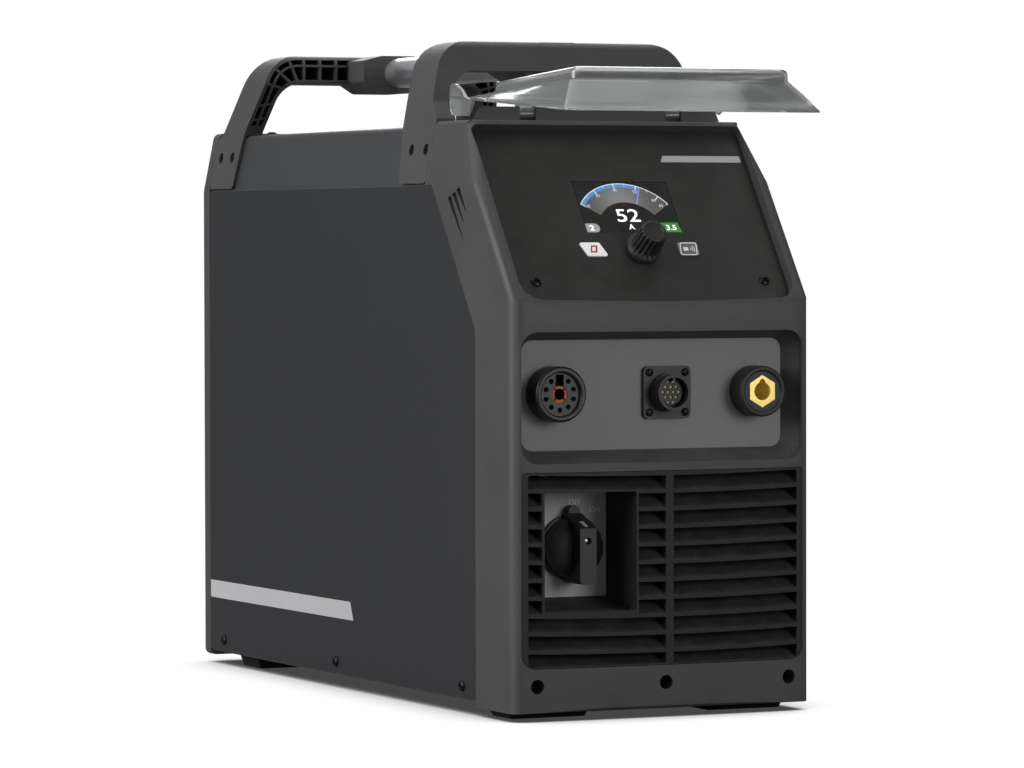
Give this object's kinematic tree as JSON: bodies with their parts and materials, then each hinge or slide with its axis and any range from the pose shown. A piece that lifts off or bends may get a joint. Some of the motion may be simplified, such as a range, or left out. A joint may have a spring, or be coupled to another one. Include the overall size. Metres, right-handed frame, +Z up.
{
  "type": "plasma cutter unit",
  "caption": "Inverter power unit for plasma cutting: sheet-metal cabinet, moulded front with sloping panel, hinged clear cover, louvred grille, sockets, mains switch and tube handle.",
  "frame": {"origin": "on the floor under the middle of the overall box, with the clear cover open", "axes": "+X to the right seen from the front, +Y to the rear, +Z up"},
  "size_m": [0.2444, 0.6553, 0.491],
  "materials": {
    "bezel_plastic": "fine moulded grain",
    "grille_plastic": "fine moulded grain, darker than the bezel",
    "grey_plate": "flat matte plate",
    "black_plastic": "satin black",
    "dark_plastic": "plain",
    "panel_film": "matte printed film",
    "display_glass": "gloss window",
    "button_white": "satin",
    "button_grey": "satin",
    "clear_polycarbonate": "clear, slightly smoky",
    "polished_tube": "ground and polished",
    "zinc_steel": "zinc plated",
    "black_steel": "black oxide",
    "chrome_wire": "bright plated wire",
    "cover_paint": "dark grey fine texture powder coat",
    "panel_paint": "dark grey fine texture powder coat",
    "contact_copper": "machined copper",
    "contact_brass": "machined brass",
    "contact_gold": "gold plated",
    "circuit_board": "solder resist",
    "fan_plastic": "glass-filled plastic",
    "capacitor_sleeve": "shrink sleeve",
    "heatsink_aluminium": "as extruded",
    "core_and_winding": "varnished winding on a ferrite or iron core",
    "hose_rubber": "smooth hose",
    "foot_rubber": "moulded rubber"
  },
  "bodies": {
    "chassis": {"front_bezel": "bezel_plastic", "front_grille": "grille_plastic", "switch_well": "grille_plastic", "switch_plate": "grey_plate", "switch_body": "dark_plastic", "connector_plate": "grey_plate", "torch_socket": "black_plastic", "torch_contact": "contact_copper", "torch_control_contacts": "zinc_steel", "torch_nut": "zinc_steel", "signal_socket": "black_plastic", "signal_contacts": "contact_gold", "signal_screws": "black_steel", "earth_socket": "black_plastic", "earth_contact": "contact_brass", "earth_nut": "zinc_steel", "control_panel": "panel_film", "display_module": "display_glass", "control_board": "circuit_board", "encoder_body": "zinc_steel", "panel_screws": "black_steel", "hinge_bar": "black_plastic", "hinge_pins": "zinc_steel", "front_arch": "bezel_plastic", "rear_arch": "bezel_plastic", "handle_tube": "polished_tube", "arch_screws": "black_steel", "top_cover": "cover_paint", "left_side_panel": "panel_paint", "right_side_panel": "panel_paint", "side_panel_screws": "black_steel", "cover_screws": "black_steel", "base_tray": "cover_paint", "front_feet": "foot_rubber", "rear_feet": "foot_rubber", "bezel_screws": "black_steel", "rear_bezel": "bezel_plastic", "rear_plate": "cover_paint", "fan_guard": "chrome_wire", "fan_frame": "fan_plastic", "cable_gland": "black_plastic", "gas_inlet": "contact_brass", "earth_stud": "zinc_steel", "chassis_bridge": "zinc_steel", "power_board": "circuit_board", "capacitors": "capacitor_sleeve", "heatsink": "heatsink_aluminium", "transformer": "core_and_winding", "output_choke": "core_and_winding", "gas_valve": "contact_brass", "air_hose": "hose_rubber"},
    "cover": {"clear_cover": "clear_polycarbonate"},
    "dial": {"encoder_knob": "black_plastic", "encoder_shaft": "zinc_steel"},
    "mode_button": {"mode_button": "button_white"},
    "gas_test_button": {"gas_test_button": "button_grey"},
    "switch": {"switch_knob": "black_plastic", "switch_shaft": "zinc_steel"},
    "fan": {"fan_rotor": "fan_plastic"}
  },
  "joints": [
    {"name": "cover_hinge", "type": "hinge", "parent": "chassis", "child": "cover", "pos_m": [0, -0.16437, 0.4355], "axis": [1, 0, 0], "range_deg": [-5, 50]},
    {"name": "dial_turn", "type": "hinge", "parent": "chassis", "child": "dial", "pos_m": [0, -0.24379, 0.33908], "axis": [0, -0.809, 0.5878], "continuous": true},
    {"name": "mode_press", "type": "slide", "parent": "chassis", "child": "mode_button", "axis": [0, 0.809, -0.5878], "range_m": [0, 0.0006], "stiffness_N_per_m": 1500},
    {"name": "gas_test_press", "type": "slide", "parent": "chassis", "child": "gas_test_button", "axis": [0, 0.809, -0.5878], "range_m": [0, 0.0006], "stiffness_N_per_m": 1500},
    {"name": "switch_turn", "type": "hinge", "parent": "chassis", "child": "switch", "pos_m": [-0.053, -0.22537, 0.121], "axis": [0, 1, 0], "range_deg": [0, 60]},
    {"name": "fan_spin", "type": "hinge", "parent": "chassis", "child": "fan", "pos_m": [0, 0.28763, 0.12], "axis": [0, 1, 0], "continuous": true}
  ]
}
